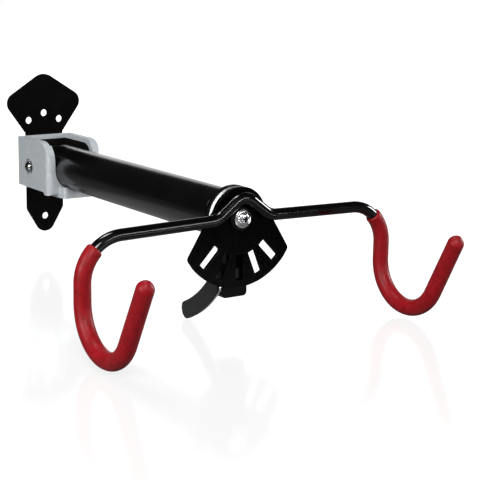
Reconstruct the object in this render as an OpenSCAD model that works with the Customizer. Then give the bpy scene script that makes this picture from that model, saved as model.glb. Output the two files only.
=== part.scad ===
// Bicycle wall rack: a wall plate and clevis bracket carry a tube arm that folds up,
// and the arm's front hub carries a tilting cradle with two sleeved hooks.
// Frame: X across, the wall is the plane y = 0, the arm points to -Y, and z = 0 is the arm's axis.

/* [Wall plate] */
// Thickness of the wall plate
plate_t = 3; // [2:0.5:6]
// Height of the sharp apex of the plate's head, before rounding
plate_apex = 109; // [95:1:130]
// Half width of the head at its sharp shoulders, before rounding
head_half = 54; // [46:1:65]
// Height of the shoulders
shoulder_z = 74.7; // [70:0.1:90]
// Half width of the strip below the head
strip_half = 24.7; // [22:0.1:30]
// Height where the head narrows to the strip
neck_z = 34.4; // [33:0.1:38]
// Height where the strip starts its taper, below the arm's axis
hip_z = -60; // [-66:1:-56]
// Height of the sharp lower tip, before rounding
plate_tip = -101.8; // [-115:0.1:-96]
// Diameter of the wall screw holes
wall_hole_d = 8.5; // [5:0.5:10]
// Half spacing of the two outer wall screw holes
side_hole_x = 20.4; // [17:0.1:26]
// Height of the two outer wall screw holes
side_hole_z = 50; // [46:1:60]
// Height of the upper centre wall screw hole
top_hole_z = 58.2; // [56:0.1:75]
// Height of the lower centre wall screw hole
low_hole_z = -70; // [-78:1:-62]

/* [Pivot bracket] */
// Width of the bracket over its cheeks
bracket_w = 71; // [69:0.5:90]
// Height of the bracket's top edge above the arm's axis
bracket_top = 32; // [30:0.5:34]
// Depth of the bracket's lower edge below the arm's axis
bracket_low = 27; // [26:0.5:29]
// Reach of the cheeks from the wall
bracket_reach = 82; // [76:1:100]
// Radius of the cheeks' upper front corners
cheek_corner_r = 23; // [15:1:26]
// Radius of the bracket's front vertical edges
cheek_edge_r = 8; // [3:0.5:8]
// Thickness of the web against the wall plate
web_t = 4; // [4:0.5:6]
// Thickness of each cheek liner
liner_t = 1.6; // [1:0.2:2.5]
// Thickness of the saddle under the tube
saddle_t = 4.6; // [3:0.2:8]
// Reach of the saddle's lip beyond the cheeks
lip_reach = 12; // [6:1:20]
// Half width of the saddle's lip
lip_half = 23; // [14:1:25]
// Thickness of the saddle's lip
lip_t = 7.5; // [5:0.5:10]

/* [Fold pivot] */
// Distance of the fold pivot from the wall
pivot_y = 31.5; // [31.5:0.5:36]
// Height of the fold pivot above the arm's axis
pivot_z = -2; // [-3:0.5:0]
// Diameter of the fold pivot bolt
pivot_d = 10; // [8:0.5:12]
// Diameter of the pivot bolt's domed head
pivot_head_d = 13.5; // [13:0.5:17]
// Height of the domed head
pivot_head_h = 7; // [4:0.5:8]
// Diameter of the recess round the head and round the nut
recess_d = 20; // [19:0.5:24]
// Depth of those recesses
recess_h = 2.5; // [1:0.5:3.5]
// Radius of the knuckle's rounded back
knuckle_r = 23; // [20:0.5:23]

/* [Arm tube] */
// Outside diameter of the arm tube
tube_d = 50; // [46:1:50]
// Wall of the arm tube
tube_wall = 2.5; // [1.5:0.5:4]
// Distance of the tube's root end from the wall
tube_start = 53; // [53:1:60]
// Length of the arm tube
tube_len = 358; // [180:1:450]
// Length of each plug inside the tube
spigot_len = 56; // [54:1:80]
// Diameter of a rivet's shank
rivet_d = 4; // [3:0.5:6]
// Diameter of a rivet's domed head
rivet_head_d = 8; // [6:0.5:10]

/* [Front hub] */
// Diameter of the hub plug's flange
flange_d = 62; // [56:1:70]
// Thickness of the hub plug's flange
flange_t = 4; // [3:0.5:8]
// Diameter of the bright wear washer
wear_d = 60; // [50:1:66]
// Thickness of the wear washer
wear_t = 4; // [2:0.5:6]
// Diameter of the boss behind the sector plate
boss_d = 52; // [40:1:58]
// Thickness of that boss
boss_t = 3.7; // [3.7:0.1:6]
// Outside diameter of the hub sleeve that the cradle turns on
sleeve_od = 14; // [12:0.5:18]
// Diameter of the centre bolt
centre_d = 8; // [6:0.5:10]
// Diameter of the centre bolt's flange
centre_flange_d = 18.8; // [16:0.2:22]
// Width across flats of the centre bolt's socket
socket_af = 5; // [4:0.5:8]
// Diameter of the black thrust washer under the centre bolt
thrust_d = 25; // [20:0.5:26]
// Thickness of the thrust washer
thrust_t = 3.2; // [2:0.2:5]

/* [Cradle] */
// Thickness of the sector plate
sector_t = 4; // [3:0.5:6]
// Radius of the sector plate's lower arc
sector_r = 70.2; // [66:0.1:85]
// Radius of the sector plate's round top
sector_top_r = 31; // [28:0.5:34]
// Angle between two neighbouring slots
slot_step = 22; // [18:1:22]
// Width of a slot
slot_w = 7.8; // [7.4:0.1:9]
// Radius where the slots begin
slot_in = 37.5; // [36:0.5:42]
// Radius where the slots end
slot_out = 62.5; // [62:0.5:64]
// Diameter of the bent rod
rod_d = 12; // [10:0.5:14]
// Distance from the centre plane to each hook's plane
hook_x = 177.7; // [110:0.1:230]
// Droop of the arms, in degrees
arm_droop = 1.2; // [0:0.1:6]
// Height of the arms' line at the centre plane
arm_z = 1.8; // [-2:0.1:4]
// Height of the rod's hump over the hub bolt
hump_z = 20.6; // [20:0.1:26]
// Bend radius at the hump's crest
crest_r = 16; // [16:0.5:22]
// Bend radius at the hump's feet
foot_r = 25; // [18:0.5:35]
// Slope of the hump's flanks, in degrees
flank_a = 37; // [25:1:50]
// Bend radius from the arm into the hook's leg
corner_r = 41.4; // [30:0.1:60]
// Bend radius of the hook
hook_r = 43.6; // [32:0.1:60]
// Depth of the hook's centreline below the arm's axis
hook_low = 103.2; // [95:0.1:140]
// Lean of the hook's tip from the vertical, in degrees
tip_lean = 27.5; // [10:0.5:45]
// Straight length of the hook's tip, up to the end of its sleeve
tip_len = 73; // [40:1:110]
// Outside diameter of the hook sleeves
sleeve_d = 17.2; // [15:0.1:22]
// Where the sleeve begins on the corner bend, in degrees before the leg
sleeve_start = 48; // [0:1:70]

/* [Latch] */
// Width of the latch block
block_w = 31; // [28:1:34]
// Depth of the latch block's lower edge below the arm's axis
block_low = 82; // [80:1:92]
// Thickness of the latch block
block_t = 16; // [16:0.5:20]
// How far the block stands in front of the flange
block_proud = 3; // [1:0.5:3.5]
// Width of the latch tooth
tooth_w = 6.6; // [5:0.1:6.6]
// Height of the latch tooth
tooth_h = 10; // [9:0.5:11]
// Depth of the tooth's centre below the arm's axis
tooth_z = 57; // [55:0.5:57]
// Distance of the lever shaft behind the flange's front face
shaft_back = 7; // [6.5:0.5:7.5]
// Depth of the lever shaft below the arm's axis
shaft_low = 68.5; // [68:0.5:71]
// Diameter of the lever shaft
shaft_d = 8; // [6:0.5:9]
// Turn of the lever from open to locked, in degrees
lever_turn = 24; // [22:1:26]
// Thickness of the steel lever core
core_t = 2.5; // [2:0.5:4]
// Thickness of the moulded lever paddle
paddle_t = 6.5; // [5:0.5:9]
// Bend radius of the paddle's centreline
paddle_r = 134; // [90:1:200]
// Length of the paddle along its centreline
paddle_len = 67; // [40:1:80]
// Width of the paddle
paddle_w = 18.5; // [14:0.5:24]

/* [Hidden] */
$fn = 96;
fit = 0.05;            // radial clearance of a running fit
gap = 0.4;             // gap between faces that move past each other
slack = 0.5;           // clearance round the tube in its bracket
eps = 1;               // overrun of a cutter past the face it cuts

tube_r = tube_d / 2;
bore_r = tube_r - tube_wall;
web_y = plate_t + web_t;                   // front face of the web
cheek_in = tube_r + 0.6 + liner_t;         // half width between the cheeks
saddle_start = pivot_y + knuckle_r + 1;    // the saddle begins in front of the turning knuckle
tube_end = tube_start + tube_len;
flange_y = tube_end + flange_t;            // front face of the flange
wear_y = flange_y + wear_t;                // front face of the wear washer
boss_y = wear_y + gap;                     // back face of the cradle's boss
sector_y = boss_y + boss_t;                // back face of the sector plate
front_y = sector_y + sector_t;             // front face of the sector plate
thrust_y = front_y + gap;
spring_y = thrust_y + thrust_t;
disc_t = 0.9;                              // thickness of the disc spring
bolt_y = spring_y + disc_t;                // seat of the centre bolt's flange
rod_y = front_y + rod_d / 2;               // the rod lies on the sector plate
block_y = flange_y + block_proud;          // front face of the latch block
shaft_y = flange_y - shaft_back;
shaft_z = -shaft_low;
crank = shaft_low - tooth_z;               // height of the crank pin above the lever shaft
stroke = crank * sin(lever_turn);          // travel of the tooth
crank_pin_r = 2.5;
pocket_y = shaft_y + stroke + crank_pin_r + 0.7;   // front wall of the latch pocket
slot_count = 5;

// ---- helpers ----

// Unit vector
function unit(v) = v / norm(v);

// Arc of radius r that rounds the corner b between the points a and c
function corner(a, b, c, r, n = 8) =
    let (u = unit(a - b), v = unit(c - b), h = acos(u * v) / 2, m = unit(u + v),
         o = b + m * r / sin(h), s = b + u * r / tan(h) - o, e = b + v * r / tan(h) - o,
         a0 = atan2(s.y, s.x), sweep = (atan2(e.y, e.x) - a0 + 540) % 360 - 180)
    [for (i = [0:n]) o + r * [cos(a0 + sweep * i / n), sin(a0 + sweep * i / n)]];

// Outline through pts with each corner rounded by its own radius
function rounded(pts, radii, n = 8) =
    let (k = len(pts))
    [for (i = [0:k - 1]) each radii[i] <= 0 ? [pts[i]]
        : corner(pts[(i + k - 1) % k], pts[i], pts[(i + 1) % k], radii[i], n)];

// The mirror image of a list of points across the vertical axis, in reverse order
function mirrored(pts) = [for (i = [len(pts) - 1:-1:0]) [-pts[i].x, pts[i].y]];

// Solid from an outline drawn in X and Z, between the distances y0 and y1 from the wall
module from_wall(y0, y1) {
    translate([0, -y0, 0]) rotate([90, 0, 0]) linear_extrude(y1 - y0) children();
}

// Solid from an outline drawn in distance from the wall and Z, of width w about x
module across(w, x = 0) {
    translate([x + w / 2, 0, 0]) rotate([90, 0, -90]) linear_extrude(w) children();
}

// Round bar or cutter along Y, between two distances from the wall
module along(r, y0, y1, x = 0, z = 0) {
    translate([x, -y0, z]) rotate([90, 0, 0]) cylinder(r = r, h = y1 - y0);
}

// Round bar or cutter along X, between x0 and x1
module crossing(r, x0, x1, y, z, fn = $fn) {
    translate([x0, -y, z]) rotate([0, 90, 0]) cylinder(r = r, h = x1 - x0, $fn = fn);
}

// Hexagonal bar or cutter along Y with width af across flats
module hex_along(af, y0, y1) {
    translate([0, -y0, 0]) rotate([90, 0, 0]) cylinder(d = af / cos(30), h = y1 - y0, $fn = 6);
}

// Solid of revolution about the hub axis; the profile is [radius, distance from the wall]
module about_hub(profile) {
    rotate([90, 0, 0]) rotate_extrude() polygon(profile);
}

// Places a child four times, at the bracket's screws
module at_bracket_screws() {
    for (x = [-1, 1], z = [-1, 1]) translate([x * screw_x, 0, 2 + z * screw_dz]) children();
}

// ---- wall plate ----

plate_right = [
    [0, plate_apex], [head_half, shoulder_z], [strip_half, neck_z], [strip_half, hip_z], [0, plate_tip]];
plate_radii = [18, 13, 2, 8, 12.8];
plate_outline = rounded(
    concat(plate_right, mirrored([for (i = [1:3]) plate_right[i]])),
    concat(plate_radii, [for (i = [3:-1:1]) plate_radii[i]]));
screw_x = 16;          // half spacing of the bracket screws
screw_dz = 15;         // half height spacing of the bracket screws
screw_d = 6;           // bracket screw thread
screw_head_d = 11.4;   // bracket screw countersunk head
screw_head_h = 2.7;
screw_hole = screw_d + 2 * fit;

module wall_plate() {
    color("#141414") difference() {
        from_wall(0, plate_t) polygon(plate_outline);
        for (p = [[-side_hole_x, side_hole_z], [side_hole_x, side_hole_z], [0, top_hole_z], [0, low_hole_z]])
            along(wall_hole_d / 2, -eps, plate_t + eps, p.x, p.y);
        at_bracket_screws() {
            along(screw_hole / 2, -eps, plate_t + eps);
            rotate([90, 0, 0])
                cylinder(r1 = screw_head_d / 2 + fit, r2 = screw_hole / 2, h = screw_head_h + fit);
        }
    }
}

module bracket_screws() {
    color("silver") at_bracket_screws() difference() {
        union() {
            rotate([90, 0, 0]) cylinder(r1 = screw_head_d / 2, r2 = screw_d / 2, h = screw_head_h);
            along(screw_d / 2, 0, web_y - fit);
        }
        hex_along(4, -eps, 2);
    }
}

// ---- pivot bracket ----

cheek_side = rounded(
    [[plate_t, bracket_top], [bracket_reach - 2, bracket_top], [bracket_reach, 0],
     [bracket_reach, -tube_r - slack - saddle_t], [bracket_reach - 10, -tube_r - slack - saddle_t],
     [bracket_reach - 13, -bracket_low], [plate_t, -bracket_low]],
    [1.5, cheek_corner_r, 60, 3, 3, 3, 1.5], 16);
cheek_plan = rounded(
    [[-bracket_w / 2, plate_t], [bracket_w / 2, plate_t],
     [bracket_w / 2, bracket_reach], [-bracket_w / 2, bracket_reach]],
    [0, 0, cheek_edge_r, cheek_edge_r], 12);
lip_plan = rounded(
    [[-lip_half, bracket_reach - 14], [lip_half, bracket_reach - 14], [lip_half - 3, bracket_reach + lip_reach],
     [-lip_half + 3, bracket_reach + lip_reach]],
    [0, 0, 4, 4]);

module pivot_bracket() {
    color("#a6aaad") difference() {
        union() {
            intersection() {
                across(bracket_w) polygon(cheek_side);
                translate([0, 0, -tube_d]) mirror([0, 1, 0])
                    linear_extrude(2 * tube_d) polygon(cheek_plan);
            }
            translate([0, 0, -tube_r - slack - lip_t]) mirror([0, 1, 0])
                linear_extrude(lip_t + 6) polygon(lip_plan);
        }
        // well for the knuckle, open above, below and to the front
        translate([-cheek_in, -saddle_start, -tube_d])
            cube([2 * cheek_in, saddle_start - web_y, 2 * tube_d]);
        // trough of the saddle, and the open space above it
        along(tube_r + slack, saddle_start - eps, bracket_reach + lip_reach + eps);
        translate([-tube_r - slack, -bracket_reach - lip_reach - eps, 0])
            cube([2 * (tube_r + slack), bracket_reach + lip_reach + eps - saddle_start + eps, tube_d]);
        // seats of the liners in front of the well
        for (s = [-1, 1]) across(cheek_in - tube_r + 0.4, s * (cheek_in + tube_r - 0.4) / 2)
            translate([saddle_start - eps, 0.6]) square([liner_reach - saddle_start + eps + 0.2, tube_d]);
        crossing(pivot_d / 2 + fit, -bracket_w, bracket_w, pivot_y, pivot_z);
        for (s = [-1, 1])
            crossing(recess_d / 2, s < 0 ? -bracket_w : bracket_w / 2 - recess_h,
                     s < 0 ? -bracket_w / 2 + recess_h : bracket_w, pivot_y, pivot_z);
        at_bracket_screws() along(screw_hole / 2, plate_t - eps, web_y + eps);
    }
}

liner_reach = bracket_reach - 11;
liner_top = bracket_top - 5.5;
liner_low = -tube_r + 4;
liner_back_t = 1;      // thickness of the liner's back panel
liner_side = rounded(
    [[web_y + fit, liner_top], [liner_reach, liner_top], [liner_reach, 0.8],
     [saddle_start - 0.2, 0.8], [saddle_start - 0.2, liner_low], [web_y + fit, liner_low]],
    [0, 16, 1, 0, 2, 0], 12);

module bracket_liner() {
    color("#0c0c0c") difference() {
        union() {
            for (side = [-1, 1])
                across(liner_t - fit, side * (cheek_in - (liner_t + fit) / 2)) polygon(liner_side);
            from_wall(web_y + fit, web_y + liner_back_t)
                translate([-cheek_in + fit, liner_low])
                    square([2 * (cheek_in - fit), liner_top - liner_low]);
        }
        crossing(pivot_d / 2 + fit, -bracket_w, bracket_w, pivot_y, pivot_z);
    }
}

// ---- fold pivot ----

washer_t = 1.5;        // washer under the nut
nut_af = 16;           // pivot nut, across flats
nut_t = 6;
dome_h = 3.5;          // closed dome of the nut

module pivot_bolt() {
    seat = bracket_w / 2 - recess_h;
    dome_r = pivot_head_d / 2 + 1;     // radius of the head's dome
    color("#d8dadc") translate([0, -pivot_y, pivot_z]) rotate([0, 90, 0]) union() {
        translate([0, 0, -seat]) cylinder(d = pivot_d, h = 2 * seat + washer_t + nut_t + 1);
        translate([0, 0, -seat - pivot_head_h]) intersection() {
            cylinder(d = pivot_head_d, h = pivot_head_h);
            translate([0, 0, dome_r]) sphere(r = dome_r);
        }
    }
}

module pivot_washer() {
    seat = bracket_w / 2 - recess_h;
    color("silver") difference() {
        crossing(recess_d / 2 - 0.5, seat, seat + washer_t, pivot_y, pivot_z);
        crossing(pivot_d / 2 + 0.2, seat - eps, seat + washer_t + eps, pivot_y, pivot_z);
    }
}

module pivot_nut() {
    seat = bracket_w / 2 - recess_h + washer_t;
    color("silver") difference() {
        union() {
            crossing(nut_af / 2 / cos(30), seat, seat + nut_t, pivot_y, pivot_z, fn = 6);
            translate([seat + nut_t, -pivot_y, pivot_z]) rotate([0, 90, 0]) intersection() {
                cylinder(d = nut_af - 2, h = dome_h);
                translate([0, 0, dome_h - nut_af / 2]) sphere(r = nut_af / 2);
            }
        }
        crossing(pivot_d / 2 + fit, seat - eps, seat + nut_t + 1.5, pivot_y, pivot_z);
    }
}

bush_flange_t = 1.5;   // flange of each pivot bush
bush_flange_d = 18;
bush_sink = 0.3;       // how far each bush flange sits in the knuckle's side
bush_d = 14;
bush_len = 14;
knuckle_flat = tube_r - 1.2;   // half width of the knuckle between its side flats
knuckle_top = pivot_z + knuckle_r;

knuckle_side = [
    [tube_start + eps, tube_r], [pivot_y, knuckle_top], [pivot_y, -tube_r], [tube_start + eps, -tube_r]];

module root_knuckle() {
    color("#161616") difference() {
        union() {
            intersection() {
                along(tube_r, 0, tube_start);
                union() {
                    across(2 * knuckle_flat) polygon(knuckle_side);
                    crossing(knuckle_r, -knuckle_flat, knuckle_flat, pivot_y, pivot_z);
                }
            }
            along(bore_r - fit, tube_start - eps, tube_start + spigot_len);
        }
        along(bore_r - 8, tube_start + 12, tube_start + spigot_len + eps);
        crossing(bush_d / 2 + fit, -tube_r, tube_r, pivot_y, pivot_z);
        for (s = [-1, 1]) crossing(bush_flange_d / 2 + fit, s < 0 ? -tube_r : knuckle_flat - bush_sink,
                                   s < 0 ? -knuckle_flat + bush_sink : tube_r, pivot_y, pivot_z);
        rivet_shanks(root_rivet_y, root_rivet_a, rivet_d / 2 + fit);
    }
}

module pivot_bushes() {
    color("#c8c4b4") for (s = [-1, 1]) mirror([s < 0 ? 1 : 0, 0, 0]) difference() {
        union() {
            crossing(bush_flange_d / 2, knuckle_flat - bush_sink, knuckle_flat - bush_sink + bush_flange_t,
                     pivot_y, pivot_z);
            crossing(bush_d / 2, knuckle_flat - bush_len, knuckle_flat, pivot_y, pivot_z);
        }
        crossing(pivot_d / 2 + fit, 0, tube_d, pivot_y, pivot_z);
    }
}

// ---- arm tube ----

root_rivet_y = tube_start + 48;
hub_rivet_y = tube_end - 6;
hub_rivet_a = [148, 32];         // angles of the hub rivets round the tube
root_rivet_a = [270];            // angle of the root rivet, under the tube
rivet_grip = 10;                 // length of a rivet's shank from the tube's surface

// Rivet shanks of radius r at the angles, at distance y from the wall
module rivet_shanks(y, angles, r) {
    for (a = angles) translate([0, -y, 0]) rotate([0, -a, 0]) rotate([0, 90, 0])
        translate([0, 0, tube_r - rivet_grip]) cylinder(r = r, h = rivet_grip + eps);
}

// Rivets with domed heads, standing on the tube at the angles a, at distance y from the wall
module rivets(y, angles) {
    head_h = 1.8;
    head_r = (rivet_head_d * rivet_head_d / 4 + head_h * head_h) / (2 * head_h);
    for (a = angles) translate([0, -y, 0]) rotate([0, -a, 0]) rotate([0, 90, 0]) {
        translate([0, 0, tube_r - rivet_grip + 0.2]) cylinder(d = rivet_d, h = rivet_grip);
        translate([0, 0, tube_r + 0.02]) intersection() {
            cylinder(d = rivet_head_d, h = head_h);
            translate([0, 0, head_h - head_r]) sphere(r = head_r);
        }
    }
}

module arm_tube() {
    color("#101010") difference() {
        along(tube_r, tube_start, tube_end);
        along(bore_r, tube_start - eps, tube_end + eps);
        rivet_shanks(root_rivet_y, root_rivet_a, rivet_d / 2 + fit);
        rivet_shanks(hub_rivet_y, hub_rivet_a, rivet_d / 2 + fit);
    }
}

module root_rivets() { color("#202020") rivets(root_rivet_y, root_rivet_a); }

module hub_rivets() { color("silver") rivets(hub_rivet_y, hub_rivet_a); }

// ---- front hub ----

nut_pocket_t = 10;     // depth of the pocket for the centre nut
centre_nut_af = 13;
centre_nut_t = 6.5;
plug_floor = flange_y - 22;    // front face of the nut pocket
guide_w = tooth_w + 0.8;
guide_h = tooth_h + 0.8;
pocket_w = 14;         // width of the latch pocket
neck_w = 19;           // width of the latch block's neck
neck_low = tooth_z - tooth_h / 2 - 4;      // depth where the neck ends, below the arm's axis

// Outline of the latch block from the depth top down, smaller by the margin m all round
function block_outline(top, m) =
    let (w = block_w / 2 - m, n = neck_w / 2 - m)
    rounded([[-n, -top - m], [n, -top - m], [n, -neck_low], [w, -neck_low - (w - n)],
             [w, -block_low + m], [-w, -block_low + m], [-w, -neck_low - (w - n)], [-n, -neck_low]],
            [0, 0, 3, 3, 4, 6, 3, 3]);

module hub_plug() {
    color("#121212") difference() {
        union() {
            along(bore_r - fit, tube_end - spigot_len, tube_end + eps);
            along(flange_d / 2, tube_end, flange_y);
            // latch block under the hub, with a narrow neck
            from_wall(flange_y - flange_t, block_y) polygon(block_outline(flange_d / 2 + gap, 0));
            from_wall(flange_y - flange_t, flange_y)
                translate([-neck_w / 2, -flange_d / 2 - 2]) square([neck_w, flange_d / 2]);
            from_wall(block_y - block_t, flange_y) polygon(block_outline(tube_r + 1, 0));
        }
        // centre bolt, its nut and a light core
        along(centre_d / 2 + 0.2, 0, block_y + eps);
        hex_along(centre_nut_af + 0.3, tube_end - spigot_len - eps, plug_floor);
        // guide of the tooth
        translate([-guide_w / 2, -block_y - eps, -tooth_z - guide_h / 2]) cube([guide_w, block_t, guide_h]);
        // pocket for the crank and the tooth's tail, open to the back
        translate([-pocket_w / 2, -pocket_y, shaft_z - shaft_d / 2 - 2])
            cube([pocket_w, block_t, crank + tooth_h / 2 + shaft_d / 2 + 3.5]);
        crossing(shaft_d / 2 + fit, -block_w, block_w, shaft_y, shaft_z);
        // screws of the cover
        at_cover_screws() along(cover_screw_d / 2 + fit, block_y - block_t - eps, block_y - 2);
        rivet_shanks(hub_rivet_y, hub_rivet_a, rivet_d / 2 + fit);
    }
}

module wear_washer() {
    color("#d0d3d6") about_hub([
        [sleeve_od / 2 + fit, flange_y], [wear_d / 2 - 1, flange_y], [wear_d / 2, flange_y + 1],
        [wear_d / 2, wear_y - 1.6], [wear_d / 2 - 1.6, wear_y], [sleeve_od / 2 + fit, wear_y]]);
}

module hub_sleeve() {
    color("silver") difference() {
        along(sleeve_od / 2, flange_y, spring_y - fit);
        along(centre_d / 2 + fit, flange_y - eps, spring_y + eps);
    }
}

module thrust_washer() {
    color("#141414") about_hub([
        [sleeve_od / 2 + fit, thrust_y], [thrust_d / 2, thrust_y], [thrust_d / 2, spring_y - 1.2],
        [thrust_d / 2 - 1.2, spring_y - 0.6], [thrust_d / 2 - 2, spring_y], [sleeve_od / 2 + fit, spring_y]]);
}

module disc_spring() {
    color("silver") about_hub([
        [centre_d / 2 + fit, spring_y + 0.35], [thrust_d / 2 - 3.2, spring_y + 0.02],
        [thrust_d / 2 - 3.2, spring_y + 0.5], [centre_d / 2 + fit, bolt_y - 0.02]]);
}

module centre_bolt() {
    flange_h = 1.6;
    head_h = 4.6;
    head_d = 14;
    color("#d8dadc") difference() {
        union() {
            along(centre_d / 2, plug_floor - nut_pocket_t, bolt_y + eps);
            about_hub([
                [0, bolt_y], [centre_flange_d / 2, bolt_y], [centre_flange_d / 2, bolt_y + 0.7],
                [centre_flange_d / 2 - 1.4, bolt_y + flange_h], [head_d / 2, bolt_y + flange_h + 0.2],
                [head_d / 2 - 0.9, bolt_y + flange_h + 1.6], [head_d / 2 - 2.4, bolt_y + flange_h + 2.6],
                [head_d / 2 - 4, bolt_y + head_h], [0, bolt_y + head_h]]);
        }
        hex_along(socket_af, bolt_y + flange_h, bolt_y + head_h + eps);
    }
}

module centre_nut() {
    color("silver") difference() {
        hex_along(centre_nut_af, plug_floor - centre_nut_t, plug_floor - 0.02);
        along(centre_d / 2 + fit, plug_floor - centre_nut_t - eps, plug_floor + eps);
    }
}

// ---- cradle ----

sector_corner = 31.2;      // half angle between the sector's lower corners and the horizontal
sector_side_top = [41.5, -6.5];
lower_arc = [for (i = [0:20])
    let (a = -sector_corner - (180 - 2 * sector_corner) * i / 20) sector_r * [cos(a), sin(a)]];
upper_arc = [for (i = [0:24]) let (a = 160 - 140 * i / 24) sector_top_r * [cos(a), sin(a)]];
sector_points = concat(upper_arc, [sector_side_top], lower_arc, mirrored([sector_side_top]));
sector_radii = [for (i = [0:len(sector_points) - 1])
    i == len(upper_arc) + 1 || i == len(upper_arc) + len(lower_arc) ? 5 : 0];

module sector_plate() {
    color("#0e0e0e") difference() {
        from_wall(sector_y, front_y) polygon(rounded(sector_points, sector_radii, 6));
        along(sleeve_od / 2 + fit, sector_y - eps, front_y + eps);
        for (i = [0:slot_count - 1]) rotate([0, (i - (slot_count - 1) / 2) * slot_step, 0])
            translate([-slot_w / 2, -front_y - eps, -slot_out])
                cube([slot_w, sector_t + 2 * eps, slot_out - slot_in]);
    }
}

module sector_boss() {
    color("#0e0e0e") difference() {
        about_hub([[0, boss_y], [boss_d / 2 - 0.8, boss_y], [boss_d / 2, boss_y + 0.8],
                   [boss_d / 2, sector_y], [0, sector_y]]);
        along(sleeve_od / 2 + fit, boss_y - eps, sector_y + eps);
    }
}

// Path of the rod's right half, in X and Z at the rod's distance from the wall
crest_o = [0, hump_z - crest_r];
crest_end = crest_o + crest_r * [sin(flank_a), cos(flank_a)];
flank_dir = [cos(flank_a), -sin(flank_a)];
arm_dir = [cos(arm_droop), -sin(arm_droop)];
foot_shift = foot_r * [sin(flank_a) - sin(arm_droop), cos(flank_a) - cos(arm_droop)];
flank_len = (crest_end.y + foot_shift.y + tan(arm_droop) * (crest_end.x + foot_shift.x) - arm_z)
    / (sin(flank_a) - cos(flank_a) * tan(arm_droop));
flank_end = crest_end + flank_len * flank_dir;
foot_o = flank_end + foot_r * [sin(flank_a), cos(flank_a)];
foot_end = foot_o - foot_r * [sin(arm_droop), cos(arm_droop)];
corner_o = [hook_x - corner_r, arm_z - (hook_x - corner_r) * tan(arm_droop) - corner_r / cos(arm_droop)];
corner_start = corner_o + corner_r * [sin(arm_droop), cos(arm_droop)];
hook_z = -hook_low + hook_r;              // height of the hook bend's centre
tip_cap = sleeve_d / 2;                   // the sleeve's round end beyond the rod
seam = 0.02;           // a straight bar is this much thinner in radius than the bends it joins
lap = 0.3;             // length of a straight bar inside each bend it joins

// Straight bar of radius r between bends in the rod's plane, from the point a to b, each in X and Z
module bar(a, b, r) {
    d = b - a;
    translate([a.x, -rod_y, a.y]) rotate([0, atan2(d.x, d.y), 0])
        translate([0, 0, -lap]) cylinder(r = r - seam, h = norm(d) + 2 * lap);
}

// Bend of radius r about the centre o in the rod's plane, from the angle a0 to a1, from +X towards +Z
module bend(o, big, r, a0, a1) {
    translate([o.x, -rod_y, o.y]) rotate([90, 0, 0]) rotate([0, 0, a0])
        rotate_extrude(angle = a1 - a0) translate([big, 0]) circle(r = r);
}

// Places a child at the right hook's centre
module at_hook() {
    translate([hook_x, -rod_y - hook_r, hook_z]) children();
}

// Leg, bend and leaning tip of the right hook with radius r; the tip stops the length short before
// the sleeve's end
module hook(r, short) {
    bar([hook_x, corner_o.y], [hook_x, hook_z], r);
    at_hook() rotate([0, -90, 0]) rotate([0, 0, 90])
        rotate_extrude(angle = 180 - tip_lean) translate([hook_r, 0]) circle(r = r);
    at_hook() rotate([tip_lean, 0, 0]) translate([0, -hook_r, -lap])
        cylinder(r = r - seam, h = tip_len - short + lap);
}

module right_rod_half(r) {
    bar(crest_end, flank_end, r);
    bend(foot_o, foot_r, r, 270 - flank_a, 270 - arm_droop);
    bar(foot_end, corner_start, r);
    bend(corner_o, corner_r, r, 0, 90 - arm_droop);
    hook(r, tip_cap + gap);
}

module cradle_rod() {
    color("#101010") union() {
        bend(crest_o, crest_r, rod_d / 2, 90 - flank_a, 90 + flank_a);
        right_rod_half(rod_d / 2);
        mirror([1, 0, 0]) right_rod_half(rod_d / 2);
    }
}

module hook_sleeve() {
    color("#b01c22") difference() {
        union() {
            bend(corner_o, corner_r, sleeve_d / 2, 0, sleeve_start);
            hook(sleeve_d / 2, tip_cap);
            at_hook() rotate([tip_lean, 0, 0])
                translate([0, -hook_r, tip_len - tip_cap]) sphere(r = tip_cap - 2 * seam);
        }
        bend(corner_o, corner_r, rod_d / 2 + fit, 0, sleeve_start + 2);
        hook(rod_d / 2 + fit, tip_cap);
    }
}

module left_hook_sleeve() { mirror([1, 0, 0]) hook_sleeve(); }

module right_hook_sleeve() { hook_sleeve(); }

// ---- latch ----

cover_screw_d = 3;
cover_t = 1.2;
clip_t = 0.8;
lever_gap = 0.3;       // gap between the latch block and the lever
shaft_left = block_w / 2 + lever_gap + core_t;     // left end of the shaft's seat for the lever
pin_w = 5;                                   // width of the crank and of its pin
tooth_front = sector_y - gap;                // the tooth rests behind the sector plate

// Places a child at the four screws of the latch cover
module at_cover_screws() {
    for (side = [-1, 1]) {
        translate([side * (neck_w / 2 - 4), 0, -tube_r - 6.5]) children();
        translate([side * (block_w / 2 - 3.6), 0, -block_low + 7]) children();
    }
}

module latch_cover() {
    y1 = block_y - block_t;
    color("#1a1a1a") difference() {
        from_wall(y1 - cover_t, y1 - 0.02) polygon(block_outline(tube_r + 1, 0.5));
        at_cover_screws() along(cover_screw_d / 2 + fit, y1 - cover_t - eps, y1 + eps);
    }
}

module cover_screws() {
    y1 = block_y - block_t - cover_t;
    color("silver") at_cover_screws() union() {
        along(cover_screw_d / 2, y1 - 0.5, y1 + 7);
        along(cover_screw_d, y1 - 1.8, y1 - 0.02);
    }
}

module lever_shaft() {
    color("silver") union() {
        crossing(shaft_d / 2, -shaft_left, block_w / 2 + 2.4, shaft_y, shaft_z);
        translate([-pin_w / 2, -shaft_y - 1.5, shaft_z]) cube([pin_w, 3, crank]);
        crossing(crank_pin_r, -pin_w / 2, pin_w / 2, shaft_y, shaft_z + crank);
    }
}

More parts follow.
